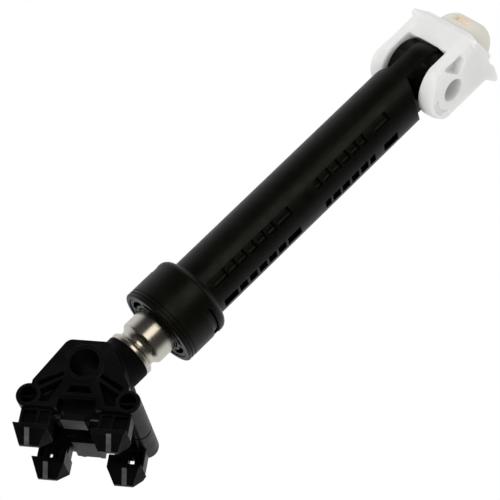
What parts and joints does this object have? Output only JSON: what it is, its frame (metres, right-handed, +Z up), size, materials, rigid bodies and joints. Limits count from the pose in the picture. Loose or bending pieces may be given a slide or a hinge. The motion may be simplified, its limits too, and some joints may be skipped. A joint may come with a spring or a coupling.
{
  "type": "washing machine shock absorber",
  "caption": "Friction damper for a washing machine: a black housing tube with a white tub clip at one end and a bright steel rod with a swivelling snap-in foot bracket at the other.",
  "frame": {"origin": "centre of the upper pivot, on the axis of the tub clip's bore", "axes": "+Z up the damper from the foot bracket to the tub clip, +X along the upper pivot, +Y towards the hook of the clip"},
  "size_m": [0.0611, 0.0548, 0.2872],
  "materials": {
    "clip_white": "satin moulded plastic",
    "pad_cream": "matt moulded plastic",
    "housing_black": "satin glass-filled plastic",
    "cap_black": "satin glass-filled plastic",
    "lining_foam": "greased foam",
    "washer_black": "plain",
    "stop_rubber": "plain",
    "rod_steel": "bright plated steel",
    "plug_black": "plain",
    "guide_white": "plain",
    "eye_black": "satin glass-filled plastic",
    "bush_rubber": "plain",
    "sleeve_white": "plain",
    "foot_black": "satin glass-filled plastic"
  },
  "bodies": {
    "clip": {"clip_fork": "clip_white", "clip_pad": "pad_cream"},
    "housing": {"housing_tube": "housing_black", "end_cap": "cap_black", "friction_lining_lower": "lining_foam", "lining_washer": "washer_black", "friction_lining_upper": "lining_foam", "bump_stop": "stop_rubber"},
    "guide": {"guide_ring": "guide_white"},
    "rod": {"rod_tube": "rod_steel", "rod_plug": "plug_black", "rod_eye": "eye_black", "eye_bush": "bush_rubber", "eye_sleeve": "sleeve_white"},
    "foot": {"foot_front": "foot_black", "foot_rear": "foot_black"}
  },
  "joints": [
    {"name": "clip_swing", "type": "hinge", "parent": "clip", "child": "housing", "pos_m": [0, 0, 0], "axis": [1, 0, 0], "range_deg": [-45, 45]},
    {"name": "rod_slide", "type": "slide", "parent": "housing", "child": "guide", "axis": [0, 0, 1], "range_m": [-0.08, 0.006]},
    {"name": "rod_turn", "type": "hinge", "parent": "guide", "child": "rod", "pos_m": [0, 0, -0.0456], "axis": [0, 0, 1], "continuous": true},
    {"name": "foot_swing", "type": "hinge", "parent": "rod", "child": "foot", "pos_m": [0, 0, -0.2075], "axis": [-0.1547, 0.988, 0], "range_deg": [-24.3, 95.7]}
  ]
}
